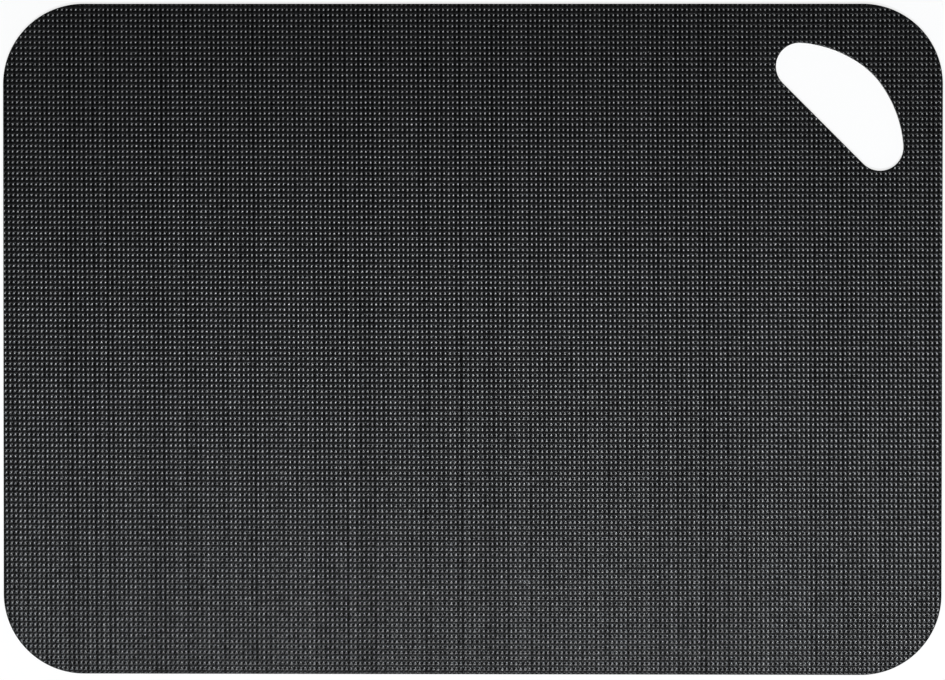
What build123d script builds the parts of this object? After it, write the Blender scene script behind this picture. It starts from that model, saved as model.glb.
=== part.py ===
from build123d import *
import os
from math import sqrt

# Flexible kitchen cutting mat, lying flat with its cutting face up.
# Two layers of one die-cut outline are bonded face to face: a firm cutting sheet over a soft
# non-slip backing. A half-moon hand hole goes through both, across one corner.
# Millimetres. The origin is the middle of the underside, X runs along the long side,
# Y towards the long side nearer the hand hole, and Z points up out of the cutting face.

# The outline that both layers are cut to
mat_length = 350.0
mat_width = 250.0
mat_corner_radius = 30.0

# The layers, and how far their outer rims are eased
cutting_sheet_thickness = 1.2
cutting_rim_radius = 0.4
backing_thickness = 0.8
backing_rim_radius = 0.25

# The hand hole: a half moon set square to the corner's diagonal, its straight side towards the
# middle of the mat and its crown towards the corner, with a web of material left between them
hand_hole_length = 60.0
hand_hole_depth = 26.0
hand_hole_end_radius = 8.8
hand_hole_corner_web = 24.5
corner_diagonal_angle = 45.0

# One plain arc between the two ends would look flat in the middle, so the crown is rounder than
# that arc and the shoulders beside it are flatter: both radii are shares of the plain arc's
crown_radius_share = 0.78
shoulder_radius_share = 1.13

# How far the die runs past each face of a layer
die_overrun = 2.0


def plain_arc_radius() -> float:
    """Radius of the one arc that would touch both end arcs and the deepest point of the hole."""
    end_reach = hand_hole_length / 2 - hand_hole_end_radius
    end_drop = hand_hole_depth - hand_hole_end_radius
    spare_depth = hand_hole_depth - 2 * hand_hole_end_radius
    return (end_reach**2 + end_drop**2 - hand_hole_end_radius**2) / (2 * spare_depth)


def centre_of_arc_around(first: Vector, first_reach: float, second: Vector, second_reach: float) -> Vector:
    """The point at the two given distances from two centres, on the left going first to second."""
    between = second - first
    along = (first_reach**2 - second_reach**2 + between.length**2) / (2 * between.length)
    aside = sqrt(first_reach**2 - along**2)
    ahead = between.normalized()
    left = Vector(-ahead.Y, ahead.X)
    return first + ahead * along + left * aside


def half_moon() -> Sketch:
    """The hand hole, its straight side along Y through the origin and its crown towards +X."""
    crown_radius = crown_radius_share * plain_arc_radius()
    shoulder_radius = shoulder_radius_share * plain_arc_radius()
    crown_centre = Vector(hand_hole_depth - crown_radius, 0)
    end_centre = Vector(hand_hole_end_radius, hand_hole_length / 2 - hand_hole_end_radius)
    shoulder_centre = centre_of_arc_around(
        crown_centre,
        shoulder_radius - crown_radius,
        end_centre,
        shoulder_radius - hand_hole_end_radius,
    )
    crown_stop = crown_centre + (crown_centre - shoulder_centre).normalized() * crown_radius
    shoulder_stop = end_centre + (end_centre - shoulder_centre).normalized() * hand_hole_end_radius

    crown = TangentArc((hand_hole_depth, 0), crown_stop, tangent=(0, 1))
    shoulder = TangentArc(crown @ 1, shoulder_stop, tangent=crown % 1)
    end = TangentArc(shoulder @ 1, (0, end_centre.Y), tangent=shoulder % 1)
    straight = Line(end @ 1, (0, 0))
    upper_half = [crown, shoulder, end, straight]
    lower_half = [mirror(edge, about=Plane.XZ) for edge in upper_half]
    return make_face([*upper_half, *lower_half])


def hand_hole_place() -> Location:
    """Where the half moon's origin sits on the corner's diagonal, and how it is turned."""
    corner_centre = Vector(mat_length / 2 - mat_corner_radius, mat_width / 2 - mat_corner_radius)
    outward = Vector(1, 0).rotate(Axis.Z, corner_diagonal_angle)
    straight_side = mat_corner_radius - hand_hole_corner_web - hand_hole_depth
    middle = corner_centre + outward * straight_side
    return Location((middle.X, middle.Y, 0), (0, 0, corner_diagonal_angle))


def die_cut_layer(bottom: float, thickness: float) -> Part:
    """One layer as it leaves the die: the mat's outline less the hand hole, with square edges."""
    outline = RectangleRounded(mat_length, mat_width, mat_corner_radius)
    blank = Pos(0, 0, bottom) * extrude(outline, thickness)
    punch_outline = hand_hole_place() * half_moon()
    punch = Pos(0, 0, bottom - die_overrun) * extrude(punch_outline, thickness + 2 * die_overrun)
    return blank - punch


def cutting_sheet() -> Part:
    """The firm upper layer, its rim eased all round the outline and the hand hole."""
    layer = die_cut_layer(backing_thickness, cutting_sheet_thickness)
    upper_rims = layer.faces().sort_by(Axis.Z)[-1].edges()
    return fillet(upper_rims, cutting_rim_radius)


def non_slip_backing() -> Part:
    """The soft lower layer, its rim eased all round where it meets the worktop."""
    layer = die_cut_layer(0, backing_thickness)
    lower_rims = layer.faces().sort_by(Axis.Z)[0].edges()
    return fillet(lower_rims, backing_rim_radius)


os.makedirs("parts", exist_ok=True)
pieces = {
    "cutting_sheet": cutting_sheet(),
    "non_slip_backing": non_slip_backing(),
}
for name, piece in pieces.items():
    export_step(piece, f"parts/{name}.step")
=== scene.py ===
"""The looks of a black flexible cutting mat: an embossed cutting sheet on a soft non-slip backing.

Lengths are in metres and angles in degrees, unless a name says otherwise. The mat lies flat, its
underside at height zero, and X runs along its long side.
"""

import logging
import math
from dataclasses import dataclass, field
from enum import Enum
from typing import Any, Iterator

import bmesh
import bpy
import numpy as np
from mathutils import Matrix, Vector


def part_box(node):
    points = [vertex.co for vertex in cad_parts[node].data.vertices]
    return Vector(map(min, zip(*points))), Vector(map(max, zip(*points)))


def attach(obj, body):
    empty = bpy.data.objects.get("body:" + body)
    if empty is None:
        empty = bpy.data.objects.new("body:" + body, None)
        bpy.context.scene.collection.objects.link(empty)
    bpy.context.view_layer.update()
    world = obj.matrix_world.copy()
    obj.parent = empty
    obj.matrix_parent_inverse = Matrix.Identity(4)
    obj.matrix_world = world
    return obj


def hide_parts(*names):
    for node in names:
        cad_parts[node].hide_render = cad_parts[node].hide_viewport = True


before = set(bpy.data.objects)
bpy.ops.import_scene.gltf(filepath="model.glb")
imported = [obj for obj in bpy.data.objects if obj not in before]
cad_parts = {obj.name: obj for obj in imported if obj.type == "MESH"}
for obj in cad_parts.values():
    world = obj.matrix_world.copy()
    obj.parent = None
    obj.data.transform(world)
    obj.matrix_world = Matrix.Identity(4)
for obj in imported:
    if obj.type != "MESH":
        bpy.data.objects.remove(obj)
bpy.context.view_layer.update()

MM = 0.001
TOUCHING = 0.001 * MM
ON_LINE = 0.01 * MM
UPRIGHT = 0.5
QUARTER_TURN = 90.0
HALF_TURN = 180.0
PLASTIC_IOR = 1.5
NOISE_ROUGHNESS = 0.5

log = logging.getLogger("cutting_mat")


class Keep(Enum):
    """Which part of a sheet stays when it is cut along a line."""

    INSIDE = 0
    OUTSIDE = 1


@dataclass(frozen=True)
class Arc:
    """One arc of a die's line, run anticlockwise.

    Args:
        centre: Its centre, as X and Y.
        radius: Its radius.
        start: The angle where it starts, anticlockwise from the X axis.
        stop: The angle where it stops.
    """

    centre: tuple[float, float]
    radius: float
    start: float
    stop: float

    def directions(self, facet_length: float) -> np.ndarray:
        """The directions from the centre to the ends of the arc's facets."""
        sweep = math.radians(self.stop - self.start)
        facets = max(2, math.ceil(sweep * self.radius / facet_length))
        angles = np.radians(self.start) + np.linspace(0.0, sweep, facets + 1)
        return np.stack([np.cos(angles), np.sin(angles)], axis=1)


@dataclass(frozen=True)
class DieLine:
    """A closed, convex line that a die cuts, as facets run anticlockwise.

    Args:
        points: The corners of the facets, one row of X and Y each.
        outward: For each corner, the direction square to the line, out of what it encloses.
    """

    points: np.ndarray
    outward: np.ndarray

    @classmethod
    def of_arcs(cls, arcs: list[Arc], facet_length: float) -> "DieLine":
        """The line through the arcs in turn, joined by straight sides.

        Args:
            arcs: The arcs, each starting square to where the last one stopped.
            facet_length: The longest facet that stands for a stretch of arc.

        Returns:
            The closed line.
        """
        directions = [arc.directions(facet_length) for arc in arcs]
        points = [np.array(arc.centre) + arc.radius * d for arc, d in zip(arcs, directions)]
        return cls(np.concatenate(points), np.concatenate(directions))

    def moved_out(self, distance: float) -> "DieLine":
        """The same line, moved outwards all round by a distance."""
        return DieLine(self.points + distance * self.outward, self.outward)

    def placed(self, middle: Vector, turn: float) -> "DieLine":
        """The same line, turned about the origin and then moved to a middle point."""
        c, s = math.cos(math.radians(turn)), math.sin(math.radians(turn))
        turned = np.array([[c, s], [-s, c]])
        return DieLine(self.points @ turned + np.array(middle[:2]), self.outward @ turned)

    def facets(self) -> Iterator[tuple[np.ndarray, np.ndarray, np.ndarray]]:
        """Each facet's start, its stop, and the direction square to it and outwards."""
        for start, stop in zip(self.points, np.roll(self.points, -1, axis=0)):
            along = stop - start
            length = np.linalg.norm(along)
            if length > TOUCHING:
                yield start, stop, np.array([along[1], -along[0]]) / length

    def reach_outside(self, places: np.ndarray) -> np.ndarray:
        """How far each place lies outside the line, or below zero how far inside."""
        reach = np.full(len(places), -np.inf)
        for start, _, outward in self.facets():
            reach = np.maximum(reach, (places - start) @ outward)
        return reach

    def outward_at(self, places: np.ndarray) -> tuple[np.ndarray, np.ndarray]:
        """The direction square to the line at each of some places near it.

        Args:
            places: One row of X and Y for each place.

        Returns:
            The outward direction at the nearest point of the line, and the distance to it.
        """
        nearest = np.full(len(places), np.inf)
        found = np.zeros_like(places)
        following = np.roll(self.points, -1, axis=0)
        next_outward = np.roll(self.outward, -1, axis=0)
        for start, stop, first, second in zip(self.points, following, self.outward, next_outward):
            along = stop - start
            if np.linalg.norm(along) < TOUCHING:
                continue
            share = np.clip((places - start) @ along / (along @ along), 0.0, 1.0)[:, None]
            gap = np.linalg.norm(places - start - share * along, axis=1)
            closer = gap < nearest
            nearest = np.where(closer, gap, nearest)
            found = np.where(closer[:, None], (1 - share) * first + share * second, found)
        return found / np.linalg.norm(found, axis=1, keepdims=True), nearest


@dataclass(frozen=True)
class MatOutline:
    """The outline of the mat and its half-moon hand hole, which a die cuts through both layers."""

    length: float
    width: float
    corner_radius: float = 30 * MM
    hole_length: float = 60 * MM
    hole_depth: float = 26 * MM
    hole_end_radius: float = 8.8 * MM
    hole_corner_web: float = 24.5 * MM
    diagonal_angle: float = 45.0
    crown_radius_share: float = 0.78
    shoulder_radius_share: float = 1.13
    facet_length: float = 1.2 * MM

    @classmethod
    def of_node(cls, node: str) -> "MatOutline":
        """The outline with the length and the width of a node of the frame."""
        low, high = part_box(node)
        return cls(length=high.x - low.x, width=high.y - low.y)

    def edge(self) -> DieLine:
        """The outer edge: four straight sides joined by round corners."""
        reach_x = self.length / 2 - self.corner_radius
        reach_y = self.width / 2 - self.corner_radius
        centres = [(reach_x, reach_y), (-reach_x, reach_y), (-reach_x, -reach_y), (reach_x, -reach_y)]
        arcs = [
            Arc(centre, self.corner_radius, QUARTER_TURN * i, QUARTER_TURN * (i + 1))
            for i, centre in enumerate(centres)
        ]
        return DieLine.of_arcs(arcs, self.facet_length)

    def plain_arc_radius(self) -> float:
        """Radius of the one arc that would touch both ends and the deepest point of the hole."""
        end_reach = self.hole_length / 2 - self.hole_end_radius
        end_drop = self.hole_depth - self.hole_end_radius
        spare_depth = self.hole_depth - 2 * self.hole_end_radius
        return (end_reach**2 + end_drop**2 - self.hole_end_radius**2) / (2 * spare_depth)

    def hand_hole(self) -> DieLine:
        """The half moon across the corner: a crown, two flatter shoulders, two ends, one straight."""
        crown_radius = self.crown_radius_share * self.plain_arc_radius()
        shoulder_radius = self.shoulder_radius_share * self.plain_arc_radius()
        crown = Vector((self.hole_depth - crown_radius, 0.0))
        end = Vector((self.hole_end_radius, self.hole_length / 2 - self.hole_end_radius))
        shoulder = self.shoulder_centre(crown, crown_radius, end, shoulder_radius)
        crown_stop = math.degrees(math.atan2(crown.y - shoulder.y, crown.x - shoulder.x))
        shoulder_stop = math.degrees(math.atan2(end.y - shoulder.y, end.x - shoulder.x))
        arcs = [
            Arc((end.x, -end.y), self.hole_end_radius, HALF_TURN, 2 * HALF_TURN - shoulder_stop),
            Arc((shoulder.x, -shoulder.y), shoulder_radius, -shoulder_stop, -crown_stop),
            Arc((crown.x, crown.y), crown_radius, -crown_stop, crown_stop),
            Arc((shoulder.x, shoulder.y), shoulder_radius, crown_stop, shoulder_stop),
            Arc((end.x, end.y), self.hole_end_radius, shoulder_stop, HALF_TURN),
        ]
        half_moon = DieLine.of_arcs(arcs, self.facet_length)
        corner = Vector((self.length / 2 - self.corner_radius, self.width / 2 - self.corner_radius))
        diagonal = math.radians(self.diagonal_angle)
        straight_side = self.corner_radius - self.hole_corner_web - self.hole_depth
        middle = corner + straight_side * Vector((math.cos(diagonal), math.sin(diagonal)))
        return half_moon.placed(middle, self.diagonal_angle)

    def shoulder_centre(
        self, crown: Vector, crown_radius: float, end: Vector, shoulder_radius: float
    ) -> Vector:
        """The centre of the shoulder that touches the crown and an end from outside.

        Args:
            crown: The crown's centre.
            crown_radius: The crown's radius.
            end: The end arc's centre.
            shoulder_radius: The shoulder's radius.

        Returns:
            The shoulder's centre.
        """
        to_crown = shoulder_radius - crown_radius
        to_end = shoulder_radius - self.hole_end_radius
        between = end - crown
        along = (to_crown**2 - to_end**2 + between.length_squared) / (2 * between.length)
        aside = math.sqrt(to_crown**2 - along**2)
        ahead = between.normalized()
        return crown + ahead * along + Vector((-ahead.y, ahead.x)) * aside


@dataclass(frozen=True)
class Hollow:
    """One rounded form that the embossing roll presses into each cell of the cutting face.

    Args:
        across: Its middle, as a share of the cell's width.
        along: Its middle, as a share of the cell's height.
        half_length: Its half length, out to where it is well under way.
        half_width: Its half width.
        turn: How far its length is turned anticlockwise from the X axis.
        depth: Its depth.
    """

    across: float
    along: float
    half_length: float
    half_width: float
    turn: float
    depth: float

    def shape(self, dx: np.ndarray, dy: np.ndarray) -> tuple[np.ndarray, np.ndarray, np.ndarray]:
        """The form's depth, a smooth bell, and its changes at some places.

        Args:
            dx: How far each place lies along X from the form's middle.
            dy: How far it lies along Y.

        Returns:
            The depth, its change along X and its change along Y.
        """
        c, s = math.cos(math.radians(self.turn)), math.sin(math.radians(self.turn))
        p, q = (c * dx + s * dy) / self.half_length, (c * dy - s * dx) / self.half_width
        bell = self.depth * np.exp(-0.5 * (p * p + q * q))
        along_p, along_q = -bell * p / self.half_length, -bell * q / self.half_width
        return bell, along_p * c - along_q * s, along_p * s + along_q * c


@dataclass
class Embossing:
    """The relief of the cutting face, in columns and rows of equal cells.

    Each cell has a dip in the middle of its width, a notch beside it, and a groove that runs
    along the columns between this cell and the next.

    No two cells of an embossed sheet are quite alike. Each column of the roll has its own
    small errors, and each cell a few more, all drawn from one seed. Depths count from the level
    that the highest few places in a hundred reach.
    """

    cell_width: float = 1.712 * MM
    cell_height: float = 2.031 * MM
    column_lean: float = 0.0073
    first_column: float = 0.42
    first_row: float = -0.17
    dip: Hollow = Hollow(
        across=0.48,
        along=0.98,
        half_length=0.46 * MM,
        half_width=0.54 * MM,
        turn=-15.0,
        depth=0.34 * MM,
    )
    groove: Hollow = Hollow(
        across=0.98,
        along=0.42,
        half_length=0.85 * MM,
        half_width=0.34 * MM,
        turn=92.0,
        depth=0.25 * MM,
    )
    notch: Hollow = Hollow(
        across=0.18,
        along=0.38,
        half_length=0.34 * MM,
        half_width=0.28 * MM,
        turn=0.0,
        depth=0.16 * MM,
    )
    column_error: float = 0.005 * MM
    cell_error: float = 0.008 * MM
    depth_error: float = 0.025
    seed: int = 7
    cells_drawn: int = 256
    level_samples: int = 40
    level_percent: float = 1.0

    def __post_init__(self) -> None:
        """Draws the errors, and finds the level that depths count from."""
        self.forms = (self.dip, self.groove, self.notch)
        dice = np.random.default_rng(self.seed)
        count = (len(self.forms), 3, self.cells_drawn)
        column_sizes = np.array([self.column_error, self.column_error, self.depth_error])
        cell_sizes = np.array([self.cell_error, self.cell_error, self.depth_error])
        by_column = column_sizes[:, None] * dice.normal(size=count)
        by_cell = cell_sizes[:, None, None] * dice.normal(size=(*count, self.cells_drawn))
        self.errors = by_column[..., None] + by_cell
        self.crest = 0.0
        shares = np.linspace(0, 1, self.level_samples)
        x, y = np.meshgrid(shares, shares)
        places = self.place_of(x.ravel(), y.ravel())
        self.crest = np.percentile(self.relief(*places, even=True)[0], self.level_percent)

    def place_of(self, column: float, row: float) -> tuple[float, float]:
        """X and Y of a point given in columns and rows."""
        y = (row - self.first_row) * self.cell_height
        return (column - self.first_column) * self.cell_width - self.column_lean * y, y

    def cell_of(self, x: np.ndarray, y: np.ndarray) -> tuple[np.ndarray, np.ndarray]:
        """The columns and rows, with their fractions, of some places."""
        columns = (x + self.column_lean * y) / self.cell_width + self.first_column
        return columns, y / self.cell_height + self.first_row

    def relief(
        self, x: np.ndarray, y: np.ndarray, even: bool = False
    ) -> tuple[np.ndarray, np.ndarray, np.ndarray]:
        """Depth of the cutting face below its highest level, and how that changes.

        Args:
            x: X of each place.
            y: Y of each place.
            even: Whether to leave out the small errors.

        Returns:
            The depth, its change along X and its change along Y.
        """
        columns, rows = self.cell_of(x, y)
        depth, change_x, change_y = np.zeros((3, len(x)))
        for form, errors in zip(self.forms, self.errors):
            for aside in (-1, 0, 1):
                for above in (-1, 0, 1):
                    column, row = np.floor(columns) + aside, np.floor(rows) + above
                    off_x, off_y, deeper = np.zeros((3, 1)) if even else errors[
                        :, column.astype(int) % self.cells_drawn, row.astype(int) % self.cells_drawn
                    ]
                    dx = (columns - column - form.across) * self.cell_width - off_x
                    dy = (rows - row - form.along) * self.cell_height - off_y
                    shape = form.shape(dx, dy)
                    depth += (1 + deeper) * shape[0]
                    change_x += (1 + deeper) * shape[1]
                    change_y += (1 + deeper) * shape[2]
        return depth - self.crest, change_x, change_y


class ShaderNumber:
    """A number on its way through a material's nodes, which Python's operators work on."""

    def __init__(self, socket: bpy.types.NodeSocket) -> None:
        """Wraps a node's output socket."""
        self.socket = socket

    def math(self, operation: str, first: Any, second: Any) -> "ShaderNumber":
        """A Math node's result on two numbers or wrapped sockets."""
        tree = self.socket.id_data
        node = tree.nodes.new("ShaderNodeMath")
        node.operation = operation
        for socket, value in zip(node.inputs, (first, second)):
            if isinstance(value, ShaderNumber):
                tree.links.new(value.socket, socket)
            else:
                socket.default_value = value
        return ShaderNumber(node.outputs[0])

    def __add__(self, other: Any) -> "ShaderNumber":
        """This number plus another."""
        return self.math("ADD", self, other)

    __radd__ = __add__

    def __sub__(self, other: Any) -> "ShaderNumber":
        """This number less another."""
        return self.math("SUBTRACT", self, other)

    def __rsub__(self, other: Any) -> "ShaderNumber":
        """Another number less this one."""
        return self.math("SUBTRACT", other, self)

    def __mul__(self, other: Any) -> "ShaderNumber":
        """This number times another."""
        return self.math("MULTIPLY", self, other)

    __rmul__ = __mul__

    def __lt__(self, other: Any) -> "ShaderNumber":
        """One where this number is below another, and zero elsewhere."""
        return self.math("LESS_THAN", self, other)

    def above(self, other: Any) -> "ShaderNumber":
        """The larger of this number and another."""
        return self.math("MAXIMUM", self, other)

    def below(self, other: Any) -> "ShaderNumber":
        """The smaller of this number and another."""
        return self.math("MINIMUM", self, other)


class NodeBench:
    """The nodes of a material or of the surroundings, in the making."""

    def __init__(self, owner: bpy.types.ID, output: str) -> None:
        """Starts with no nodes but the output of the given type."""
        self.owner = owner
        owner.use_nodes = True
        self.tree = owner.node_tree
        self.tree.nodes.clear()
        self.output = self.node(output)

    def node(
        self, kind: str, settings: dict[str, Any] | None = None, sockets: dict[str, Any] | None = None
    ) -> bpy.types.Node:
        """Adds a node.

        Args:
            kind: The node's type.
            settings: Its settings, such as an operation, set before its sockets.
            sockets: The values or links of its sockets, by name or number.

        Returns:
            The node.
        """
        node = self.tree.nodes.new(kind)
        for name, value in (settings or {}).items():
            setattr(node, name, value)
        for name, value in (sockets or {}).items():
            if isinstance(value, ShaderNumber):
                value = value.socket
            if isinstance(value, bpy.types.NodeSocket):
                self.tree.links.new(value, node.inputs[name])
            else:
                node.inputs[name].default_value = value
        return node

    def position(self) -> bpy.types.NodeSocket:
        """Where a point lies on the object, in metres."""
        return self.node("ShaderNodeTexCoord").outputs["Object"]

    def noise(self, size: float, detail: float, stretch: Vector | None = None) -> ShaderNumber:
        """Soft noise from 0 to 1.

        Args:
            size: The size of its patches.
            detail: How many finer layers it has.
            stretch: How many times longer the patches are along X, Y and Z.

        Returns:
            The noise.
        """
        place = self.position()
        if stretch is not None:
            shrink = (1 / stretch.x, 1 / stretch.y, 1 / stretch.z)
            place = self.node("ShaderNodeMapping", sockets={"Vector": place, "Scale": shrink}).outputs[0]
        noise = self.node(
            "ShaderNodeTexNoise",
            {"noise_dimensions": "3D"},
            {"Vector": place, "Scale": 1 / size, "Detail": detail, "Roughness": NOISE_ROUGHNESS},
        )
        return ShaderNumber(noise.outputs[0])

    def blend(
        self, share: ShaderNumber, first: tuple[float, ...], second: tuple[float, ...]
    ) -> bpy.types.NodeSocket:
        """A colour between two, by a share from 0 to 1."""
        mix = self.node(
            "ShaderNodeMix",
            {"data_type": "RGBA"},
            {"Factor": share, 6: (*first, 1.0), 7: (*second, 1.0)},
        )
        return mix.outputs[2]

    def bump(self, height: ShaderNumber, depth: float, strength: float) -> bpy.types.NodeSocket:
        """The normal of a surface whose fine relief is height, from 0 to 1, times depth."""
        bump = self.node(
            "ShaderNodeBump", sockets={"Height": height, "Distance": depth, "Strength": strength}
        )
        return bump.outputs[0]

    def finish(self, shader: bpy.types.Node) -> Any:
        """Ends the nodes with their surface shader, and returns what they belong to."""
        self.tree.links.new(shader.outputs[0], self.output.inputs["Surface"])
        return self.owner


def material_bench(name: str) -> NodeBench:
    """The bench for a new material."""
    return NodeBench(bpy.data.materials.new(name), "ShaderNodeOutputMaterial")


@dataclass(frozen=True)
class CuttingFaceFinish:
    """Black plastic, dull in its hollows and polished on its crests, with painted shade: its colour
    darkens by height from a little paler on the crests to deep black in the hollows.

    Where the die cut its sides, it is streaked and half as shiny.
    """

    # painted shade: the near-black base colour that the hollows darken to
    painted_hollow_shade_colour: tuple[float, float, float] = (0.0005, 0.0005, 0.0005)
    crest_colour: tuple[float, float, float] = (0.0075, 0.0075, 0.0081)
    hollow_level: float = 1.78 * MM
    crest_level: float = 1.92 * MM
    unevenness: float = 0.20
    patch_size: float = 9 * MM
    patch_detail: float = 3.0
    patch_share: float = 0.6
    grain_size: float = 1.1 * MM
    grain_detail: float = 2.0
    roughness: float = 0.27
    roughness_spread: float = 0.04
    specular_level: float = 0.03
    polish_roughness: float = 0.28
    cut_level: float = 1.62 * MM
    cut_roughness: float = 0.16
    streak_size: float = 0.12 * MM
    streak_stretch: float = 9.0
    streak_detail: float = 1.0
    streak_depth: float = 0.016 * MM
    streak_strength: float = 0.5

    def material(self) -> bpy.types.Material:
        """Builds the material."""
        bench = material_bench("satin_black_plastic")
        patches = bench.noise(self.patch_size, self.patch_detail)
        grain = bench.noise(self.grain_size, self.grain_detail)
        stretch = Vector((1.0, 1.0, self.streak_stretch))
        streaks = bench.noise(self.streak_size, self.streak_detail, stretch)
        place = bench.node("ShaderNodeSeparateXYZ", sockets={"Vector": bench.position()})
        level = ShaderNumber(place.outputs["Z"])
        cut = level < self.cut_level
        tone = self.patch_share * patches + (1 - self.patch_share) * grain
        # share from the hollows (0) to the crests (1) by height; it sets the painted shade of the base
        # colour and the coat's weight
        crest = (level - self.hollow_level) * (1 / (self.crest_level - self.hollow_level))
        crest = (crest + self.unevenness * (tone - 0.5)).above(0.0).below(1.0)
        roughness = self.roughness + self.roughness_spread * (tone - 0.5) + self.cut_roughness * cut
        shader = bench.node(
            "ShaderNodeBsdfPrincipled",
            sockets={
                # painted shade: the base colour blends by height from the crest colour to near black in
                # the hollows
                "Base Color": bench.blend(crest, self.painted_hollow_shade_colour, self.crest_colour),
                "Roughness": roughness,
                "Coat Weight": crest + streaks * cut,
                "Coat Roughness": self.polish_roughness,
                "Normal": bench.bump(streaks * cut, self.streak_depth, self.streak_strength),
                "IOR": PLASTIC_IOR,
                "Specular IOR Level": self.specular_level,
            },
        )
        return bench.finish(shader)


@dataclass(frozen=True)
class BackingFinish:
    """Matt black rubber with a fine, slightly uneven grain."""

    darkest: tuple[float, float, float] = (0.007, 0.007, 0.008)
    lightest: tuple[float, float, float] = (0.030, 0.030, 0.031)
    patch_size: float = 14 * MM
    patch_share: float = 0.5
    grain_size: float = 0.35 * MM
    detail: float = 3.0
    grain_depth: float = 0.03 * MM
    grain_strength: float = 0.6
    roughness: float = 0.72
    roughness_spread: float = 0.12

    def material(self) -> bpy.types.Material:
        """Builds the material."""
        bench = material_bench("matt_black_rubber")
        patches = bench.noise(self.patch_size, self.detail)
        grain = bench.noise(self.grain_size, self.detail)
        tone = self.patch_share * patches + (1 - self.patch_share) * grain
        shader = bench.node(
            "ShaderNodeBsdfPrincipled",
            sockets={
                "Base Color": bench.blend(tone, self.darkest, self.lightest),
                "Roughness": self.roughness + self.roughness_spread * (tone - 0.5),
                "Normal": bench.bump(grain, self.grain_depth, self.grain_strength),
                "IOR": PLASTIC_IOR,
            },
        )
        return bench.finish(shader)


@dataclass(frozen=True)
class FloorFinish:
    """A floor that looks plain white, with a trace of the mat's shadow, and is clear from below."""

    colour: tuple[float, float, float] = (0.9, 0.9, 0.9)
    whiteness: float = 0.80

    def material(self) -> bpy.types.Material:
        """Builds the material."""
        bench = material_bench("white_floor")
        paint = bench.node(
            "ShaderNodeBsdfDiffuse", sockets={"Color": (*self.colour, 1.0), "Roughness": 0.0}
        )
        white = bench.node("ShaderNodeEmission", sockets={"Color": (1.0, 1.0, 1.0, 1.0)})
        rays = bench.node("ShaderNodeLightPath")
        seen = ShaderNumber(rays.outputs["Is Camera Ray"])
        seen = seen.above(ShaderNumber(rays.outputs["Is Glossy Ray"]))
        seen = seen.above(ShaderNumber(rays.outputs["Is Transmission Ray"]))
        mix = bench.node(
            "ShaderNodeMixShader",
            sockets={0: self.whiteness * seen, 1: paint.outputs[0], 2: white.outputs[0]},
        )
        below = ShaderNumber(bench.node("ShaderNodeNewGeometry").outputs["Backfacing"])
        clear = bench.node("ShaderNodeBsdfTransparent")
        floor = bench.node(
            "ShaderNodeMixShader",
            sockets={
                0: below.above(ShaderNumber(rays.outputs["Is Shadow Ray"])),
                1: mix.outputs[0],
                2: clear.outputs[0],
            },
        )
        return bench.finish(floor)


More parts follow.
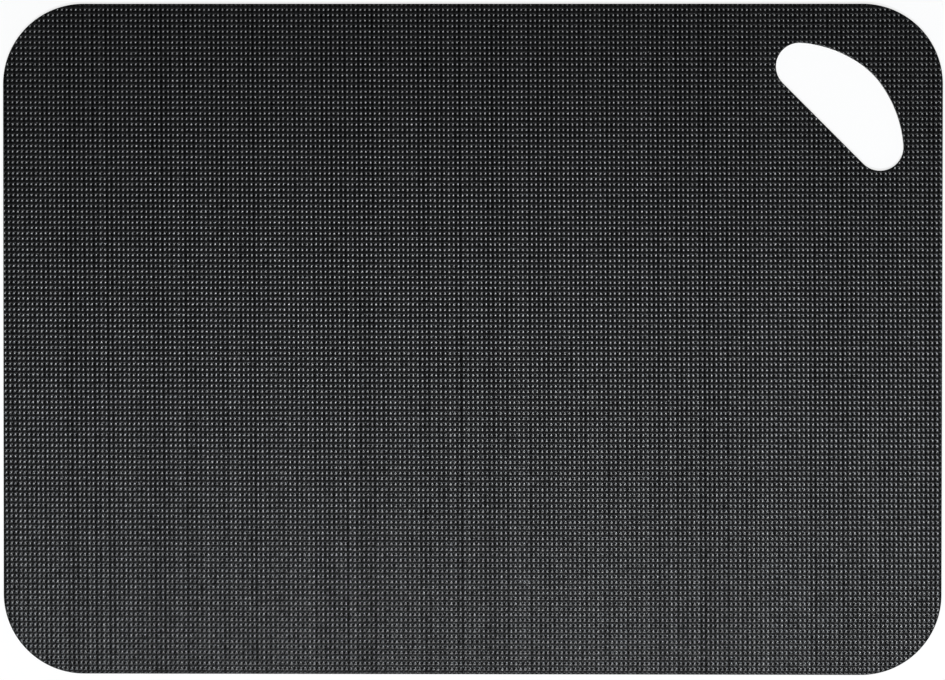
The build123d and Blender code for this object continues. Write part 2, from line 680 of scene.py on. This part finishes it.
@dataclass
class PunchedLayer:
    """A layer punched along the mat's outline, with an eased rim round its outer face.

    Args:
        node: Its node in the frame, which gives its box.
        slot: The name of a finish slot; not used.
        rim_radius: How far the rim is eased.
        rim_steps: How many facets go round the rim.
    """

    node: str
    slot: str
    rim_radius: float
    rim_steps: int = 3

    def __post_init__(self) -> None:
        """Takes the layer's levels, which way it faces, and its two lines from its node."""
        low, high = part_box(self.node)
        self.face_level, self.back_level = (high.z, low.z) if self.faces_up() else (low.z, high.z)
        self.facing = 1.0 if self.faces_up() else -1.0
        self.outline = MatOutline.of_node(self.node)
        self.edge = self.outline.edge().moved_out(-self.rim_radius)
        self.hole = self.outline.hand_hole().moved_out(self.rim_radius)

    def faces_up(self) -> bool:
        """Whether the outer face, which has the eased rim, is the upper one."""
        return True

    def facet_size(self) -> float:
        """The width of the grid's facets."""
        raise NotImplementedError

    def mount(self, mesh: bpy.types.Mesh, material: bpy.types.Material) -> bpy.types.Object:
        """Makes a finished piece of a mesh, riding on the mat in place of the layer's node.

        Args:
            mesh: The mesh.
            material: Its finish.

        Returns:
            The piece.
        """
        mesh.materials.append(material)
        piece = bpy.data.objects.new(mesh.name, mesh)
        bpy.context.scene.collection.objects.link(piece)
        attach(piece, "root")
        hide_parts(self.node)
        return piece

    def cut(self, bm: bmesh.types.BMesh, line: DieLine, keep: Keep) -> None:
        """Cuts the flat grid along a line and throws away one part.

        Args:
            bm: The grid.
            line: The line.
            keep: Which part stays.
        """
        margin = 2 * self.facet_size()
        centres = np.array([face.calc_center_median()[:2] for face in bm.faces])
        near_line = np.abs(line.reach_outside(centres)) < margin
        near = {face for face, is_near in zip(bm.faces, near_line) if is_near}
        for start, stop, outward in line.facets():
            length = np.linalg.norm(stop - start)
            along = (stop - start) / length
            crossed = []
            for face in near:
                off = np.array(face.calc_center_median()[:2]) - start
                if abs(off @ outward) < margin and -margin < off @ along < length + margin:
                    crossed.append(face)
            if not crossed:
                continue
            near.difference_update(crossed)
            edges = {edge for face in crossed for edge in face.edges}
            points = {point for face in crossed for point in face.verts}
            result = bmesh.ops.bisect_plane(
                bm,
                geom=[*points, *edges, *crossed],
                dist=TOUCHING,
                plane_co=(*start, self.face_level),
                plane_no=(*outward, 0.0),
            )
            near.update(item for item in result["geom"] if isinstance(item, bmesh.types.BMFace))
        centres = np.array([face.calc_center_median()[:2] for face in bm.faces])
        outside = line.reach_outside(centres) > 0
        waste = outside if keep is Keep.INSIDE else ~outside
        scrap = [face for face, is_waste in zip(bm.faces, waste) if is_waste]
        bmesh.ops.delete(bm, geom=scrap, context="FACES")

    def raise_walls(self, bm: bmesh.types.BMesh) -> None:
        """Gives the flat face its rounded rim, its sides and its back.

        Args:
            bm: The face, cut to its outline.
        """
        bm.verts.layers.int.new("zone")
        outward = bm.verts.layers.float_vector.new("outward")
        for face in bm.faces:
            face.smooth = True
        loop = [edge for edge in bm.edges if edge.is_boundary]
        points = list({point for edge in loop for point in edge.verts})
        places = np.array([point.co[:2] for point in points])
        directions = np.zeros_like(places)
        for line, sign in ((self.edge, 1.0), (self.hole, -1.0)):
            found, gap = line.outward_at(places)
            directions[gap < ON_LINE] = sign * found[gap < ON_LINE]
        for point, direction in zip(points, directions):
            point[outward] = (*direction, 0.0)
        reach = 0.0
        for step in range(1, self.rim_steps + 2):
            angle = self.rim_angle(step)
            further = self.rim_radius * math.sin(angle) - reach
            reach += further
            drop = self.rim_radius * (1 - math.cos(angle))
            level = self.face_level - self.facing * drop if step <= self.rim_steps else self.back_level
            loop = self.step_out(bm, loop, further, level, step)
        fill = bmesh.ops.triangle_fill(
            bm, use_beauty=False, use_dissolve=False, edges=loop, normal=(0.0, 0.0, -self.facing)
        )
        for item in fill["geom"]:
            if isinstance(item, bmesh.types.BMFace):
                item.smooth = False
        self.flatten_end_walls(bm)
        bmesh.ops.recalc_face_normals(bm, faces=bm.faces)

    def step_out(
        self,
        bm: bmesh.types.BMesh,
        loop: list[bmesh.types.BMEdge],
        further: float,
        level: float,
        step: int,
    ) -> list[bmesh.types.BMEdge]:
        """Extrudes the open edges one step outwards and away from the face.

        Args:
            bm: The mesh.
            loop: Its open edges.
            further: How far outwards the new edges lie.
            level: The height that the new edges lie at.
            step: The number of the step, which marks the new points.

        Returns:
            The new open edges.
        """
        zone = bm.verts.layers.int["zone"]
        outward = bm.verts.layers.float_vector["outward"]
        result = bmesh.ops.extrude_edge_only(bm, edges=loop)["geom"]
        fresh = {item for item in result if isinstance(item, bmesh.types.BMVert)}
        for point in fresh:
            neighbours = [edge.other_vert(point) for edge in point.link_edges]
            source = next(other for other in neighbours if other not in fresh)
            direction = source[outward].copy()
            point[outward] = direction
            point[zone] = step
            point.co = source.co + further * direction
            point.co.z = level
        for item in result:
            if isinstance(item, bmesh.types.BMFace):
                item.smooth = True
        return [
            item
            for item in result
            if isinstance(item, bmesh.types.BMEdge) and all(point in fresh for point in item.verts)
        ]

    def flatten_end_walls(self, bm: bmesh.types.BMesh) -> None:
        """Shades the walls where two strips meet as flat."""
        outward = bm.verts.layers.float_vector["outward"]
        walls = [
            face
            for face in bm.faces
            if not any(any(point[outward]) for point in face.verts) and abs(face.normal.z) < UPRIGHT
        ]
        for face in walls:
            face.smooth = False

    def read_layers(self, mesh: bpy.types.Mesh) -> tuple[np.ndarray, np.ndarray, np.ndarray]:
        """Reads and removes what raise_walls noted about each point.

        Args:
            mesh: The mesh.

        Returns:
            The points, their outward directions, and the steps that they lie on.
        """
        count = len(mesh.vertices)
        places, outward = np.zeros((2, count * 3), np.float32)
        zone = np.zeros(count, np.int32)
        mesh.vertices.foreach_get("co", places)
        mesh.attributes["outward"].data.foreach_get("vector", outward)
        mesh.attributes["zone"].data.foreach_get("value", zone)
        mesh.attributes.remove(mesh.attributes["outward"])
        mesh.attributes.remove(mesh.attributes["zone"])
        return places.reshape(-1, 3).astype(float), outward.reshape(-1, 3).astype(float), zone

    def rim_angle(self, step: np.ndarray | int) -> np.ndarray | float:
        """How far round the rim a step lies, in radians: none on the face, a right angle on the side."""
        return math.radians(QUARTER_TURN) * np.minimum(step / self.rim_steps, 1.0)

    def rim_normals(self, outward: np.ndarray, zone: np.ndarray) -> np.ndarray:
        """The directions square to the rim at each point."""
        angle = self.rim_angle(zone)[:, None]
        return outward * np.sin(angle) + np.array([0, 0, self.facing]) * np.cos(angle)

    def set_shading(self, mesh: bpy.types.Mesh, normals: np.ndarray) -> None:
        """Gives the smooth faces the true normals of the surface that they stand for.

        Args:
            mesh: The strip.
            normals: One normal for each of its points.
        """
        corner_points = np.zeros(len(mesh.loops), np.int32)
        mesh.loops.foreach_get("vertex_index", corner_points)
        smooth = np.zeros(len(mesh.polygons), bool)
        corners = np.zeros(len(mesh.polygons), np.int32)
        mesh.polygons.foreach_get("use_smooth", smooth)
        mesh.polygons.foreach_get("loop_total", corners)
        corner_normals = normals[corner_points] * np.repeat(smooth, corners)[:, None]
        mesh.normals_split_custom_set(corner_normals)


@dataclass
class CuttingSheet(PunchedLayer):
    """The firm upper layer, embossed all over, with its rim eased round the edge and the hole.

    It is modelled as strips side by side, so that each stays a mesh of workable size. Every strip
    is a closed solid, and neighbours share the same points where they meet.
    """

    node: str = "cutting_sheet"
    slot: str = "cutting_face"
    rim_radius: float = 0.4 * MM
    strips: int = 11
    facets_across_cell: int = 6
    facets_along_cell: int = 6
    depth_limit: float = 0.9
    embossing: Embossing = field(default_factory=Embossing)
    finish: CuttingFaceFinish = field(default_factory=CuttingFaceFinish)

    def facet_size(self) -> float:
        """The width of the grid's facets."""
        return self.embossing.cell_width / self.facets_across_cell

    def build(self) -> list[bpy.types.Object]:
        """Builds every strip and dresses it.

        Returns:
            The strips, from the front of the mat to its back.
        """
        material = self.finish.material()
        half = self.outline.width / 2
        _, rows = self.embossing.cell_of(np.zeros(2), np.array([-half, half]))
        first, last = math.floor(rows[0]), math.ceil(rows[1])
        per_strip = math.ceil((last - first) / self.strips)
        pieces = []
        for number in range(self.strips):
            start = first + number * per_strip
            stop = min(start + per_strip, last)
            pieces.append(self.strip(number + 1, start, stop, material))
        return pieces

    def strip(
        self, number: int, start: int, stop: int, material: bpy.types.Material
    ) -> bpy.types.Object:
        """Builds one strip.

        Args:
            number: The strip's number in its name.
            start: The first row of cells in it.
            stop: The row that the next strip starts with.
            material: The finish.

        Returns:
            The strip, riding on the mat.
        """
        bm = bmesh.new()
        self.lay_grid(bm, start, stop)
        self.cut(bm, self.edge, Keep.INSIDE)
        self.cut(bm, self.hole, Keep.OUTSIDE)
        self.raise_walls(bm)
        mesh = bpy.data.meshes.new(f"cutting_sheet_strip_{number}")
        bm.to_mesh(mesh)
        bm.free()
        self.emboss(mesh)
        return self.mount(mesh, material)

    def lay_grid(self, bm: bmesh.types.BMesh, start: int, stop: int) -> None:
        """Lays a flat grid over some rows of cells, a few facets to each cell.

        Args:
            bm: The empty mesh that gets the grid.
            start: The first row.
            stop: The row after the last.
        """
        half = self.outline.length / 2
        columns, _ = self.embossing.cell_of(np.array([-half, half]), np.zeros(2))
        first, last = math.floor(columns[0]) - 1, math.ceil(columns[1]) + 1
        bmesh.ops.create_grid(
            bm,
            x_segments=(last - first) * self.facets_across_cell,
            y_segments=(stop - start) * self.facets_along_cell,
            size=0.5,
        )
        x, y = self.embossing.place_of((first + last) / 2, (start + stop) / 2)
        spread = Matrix.Diagonal(
            (
                (last - first) * self.embossing.cell_width,
                (stop - start) * self.embossing.cell_height,
                1.0,
                1.0,
            )
        )
        lean = Matrix.Identity(4)
        lean[0][1] = -self.embossing.column_lean
        place = Matrix.Translation((x, y, self.face_level)) @ lean @ spread
        bmesh.ops.transform(bm, matrix=place, verts=bm.verts)

    def emboss(self, mesh: bpy.types.Mesh) -> None:
        """Presses the relief into the face, and sets how the surface shades.

        Args:
            mesh: The strip, still with a flat face.
        """
        places, outward, zone = self.read_layers(mesh)
        angle = self.rim_angle(zone)
        base = places - outward * (self.rim_radius * np.sin(angle))[:, None]
        depth, change_x, change_y = self.embossing.relief(base[:, 0], base[:, 1])
        side_top = self.face_level - self.rim_radius
        embossed = self.face_level - np.clip(depth, 0.0, self.depth_limit * self.rim_radius)
        level = side_top + (embossed - side_top) * np.cos(angle)
        places[:, 2] = np.where(zone > self.rim_steps, self.back_level, level)
        mesh.vertices.foreach_set("co", places.astype(np.float32).ravel())
        face = np.stack([change_x, change_y, np.ones(len(places))], axis=1)
        face /= np.linalg.norm(face, axis=1, keepdims=True)
        self.set_shading(mesh, np.where((zone == 0)[:, None], face, self.rim_normals(outward, zone)))


@dataclass
class NonSlipBacking(PunchedLayer):
    """The soft lower layer, flat underneath, with its lower rim eased."""

    node: str = "non_slip_backing"
    slot: str = "grip_backing"
    rim_radius: float = 0.25 * MM
    facet: float = 2.5 * MM
    finish: BackingFinish = field(default_factory=BackingFinish)

    def faces_up(self) -> bool:
        """The outer face of the backing is its underside."""
        return False

    def facet_size(self) -> float:
        """The width of the grid's facets."""
        return self.facet

    def build(self) -> bpy.types.Object:
        """Builds the layer and dresses it.

        Returns:
            The layer, riding on the mat.
        """
        bm = bmesh.new()
        columns = math.ceil(self.outline.length / self.facet) + 2
        rows = math.ceil(self.outline.width / self.facet) + 2
        bmesh.ops.create_grid(bm, x_segments=columns, y_segments=rows, size=0.5)
        spread = Matrix.Diagonal((columns * self.facet, rows * self.facet, 1.0, 1.0))
        place = Matrix.Translation((0.0, 0.0, self.face_level)) @ spread
        bmesh.ops.transform(bm, matrix=place, verts=bm.verts)
        self.cut(bm, self.edge, Keep.INSIDE)
        self.cut(bm, self.hole, Keep.OUTSIDE)
        self.raise_walls(bm)
        mesh = bpy.data.meshes.new("soft_backing")
        bm.to_mesh(mesh)
        bm.free()
        _, outward, zone = self.read_layers(mesh)
        self.set_shading(mesh, self.rim_normals(outward, zone))
        return self.mount(mesh, self.finish.material())


@dataclass
class Studio:
    """A white floor, lamps above, beside and below it, and the camera above the mat."""

    floor_side: float = 6.0
    floor_gap: float = 0.05 * MM
    light_place: tuple[float, float, float] = (0.02, -0.65, 1.40)
    light_size: tuple[float, float] = (0.10, 0.10)
    light_power: float = 10.8
    fill_aside: float = 0.40
    fill_place: tuple[float, float, float] = (0.0, -0.55, 1.30)
    fill_power: float = 3.7
    fill_colour: tuple[float, float, float] = (0.80, 0.90, 1.0)
    panel_place: tuple[float, float, float] = (0.0, -0.36, 1.35)
    panel_size: tuple[float, float] = (0.90, 0.25)
    panel_power: float = 5.9
    lower_place: tuple[float, float, float] = (0.0, -0.50, -1.40)
    lower_size: tuple[float, float] = (0.50, 0.50)
    lower_power: float = 22.0
    side_place: tuple[float, float, float] = (0.85, -0.85, 0.45)
    side_size: tuple[float, float] = (1.20, 0.60)
    side_power: float = 2.5
    ambience: float = 0.05
    wall_ambience: float = 0.20
    wall_foot: float = 0.325
    wall_top: float = 0.65
    camera_place: tuple[float, float, float] = (11.42 * MM, 17.21 * MM, 1200 * MM)
    camera_turn: tuple[float, float, float] = (-0.8314, 0.5405, 0.0419)
    camera_lens_mm: float = 122.48
    camera_sensor_mm: float = 36.0

    def build(self) -> None:
        """Builds the floor, the lights, the surroundings and the camera."""
        self.lay_floor()
        self.hang_light("soft_light", self.light_place, self.light_size, self.light_power)
        x, y, z = self.fill_place
        for name, aside in (("cool_fill_left", -self.fill_aside), ("cool_fill_right", self.fill_aside)):
            self.hang_light(name, (x + aside, y, z), self.light_size, self.fill_power, self.fill_colour)
        self.hang_light("wide_panel", self.panel_place, self.panel_size, self.panel_power)
        self.hang_light("side_light", self.side_place, self.side_size, self.side_power)
        self.hang_light("lower_light", self.lower_place, self.lower_size, self.lower_power)
        self.set_surroundings()
        self.set_camera()
        bpy.context.scene.view_settings.view_transform = "Standard"

    def lay_floor(self) -> None:
        """Lays the floor a hair below the mat's underside."""
        bm = bmesh.new()
        bmesh.ops.create_grid(bm, x_segments=1, y_segments=1, size=self.floor_side / 2)
        mesh = bpy.data.meshes.new("floor")
        bm.to_mesh(mesh)
        bm.free()
        mesh.materials.append(FloorFinish().material())
        floor = bpy.data.objects.new("floor", mesh)
        floor.location.z = -self.floor_gap
        bpy.context.scene.collection.objects.link(floor)

    def hang_light(
        self,
        name: str,
        place: tuple[float, float, float],
        size: tuple[float, float],
        power: float,
        colour: tuple[float, float, float] = (1.0, 1.0, 1.0),
    ) -> None:
        """Hangs a soft light, turned towards the middle of the mat.

        Args:
            name: Its name.
            place: Where it hangs.
            size: Its width and height.
            power: Its power in watts.
            colour: Its colour.
        """
        lamp = bpy.data.lights.new(name, "AREA")
        lamp.shape = "RECTANGLE"
        lamp.size, lamp.size_y = size
        lamp.energy = power
        lamp.color = colour
        light = bpy.data.objects.new(name, lamp)
        light.location = place
        light.rotation_euler = Vector(place).to_track_quat("Z", "Y").to_euler()
        light.visible_camera = False
        bpy.context.scene.collection.objects.link(light)

    def set_surroundings(self) -> None:
        """Makes the surroundings white to the camera, and to the mat dim, with paler walls."""
        world = bpy.data.worlds.new("surroundings")
        bench = NodeBench(world, "ShaderNodeOutputWorld")
        seen = ShaderNumber(bench.node("ShaderNodeLightPath").outputs["Is Camera Ray"])
        direction = bench.node(
            "ShaderNodeSeparateXYZ",
            sockets={"Vector": bench.node("ShaderNodeTexCoord").outputs["Generated"]},
        )
        dim = bench.node(
            "ShaderNodeMapRange",
            {"interpolation_type": "SMOOTHSTEP"},
            {
                "Value": direction.outputs["Z"],
                "From Min": self.wall_foot,
                "From Max": self.wall_top,
                "To Min": self.wall_ambience,
                "To Max": self.ambience,
            },
        )
        strength = seen.above(ShaderNumber(dim.outputs["Result"]))
        background = bench.node(
            "ShaderNodeBackground", sockets={"Color": (1.0, 1.0, 1.0, 1.0), "Strength": strength}
        )
        bench.finish(background)
        bpy.context.scene.world = world

    def set_camera(self) -> None:
        """Sets the camera above the mat, looking down."""
        lens = bpy.data.cameras.new("camera")
        lens.sensor_width = self.camera_sensor_mm
        lens.lens = self.camera_lens_mm
        camera = bpy.data.objects.new("camera", lens)
        camera.location = self.camera_place
        camera.rotation_euler = [math.radians(turn) for turn in self.camera_turn]
        bpy.context.scene.collection.objects.link(camera)
        bpy.context.scene.camera = camera


def main() -> None:
    """Builds the mat and its studio, and reports each piece."""
    logging.basicConfig(level=logging.INFO, format="%(message)s")
    for piece in CuttingSheet().build():
        log.info("%s: %d faces", piece.name, len(piece.data.polygons))
    backing = NonSlipBacking().build()
    log.info("%s: %d faces", backing.name, len(backing.data.polygons))
    Studio().build()


if __name__ == "__main__":
    main()
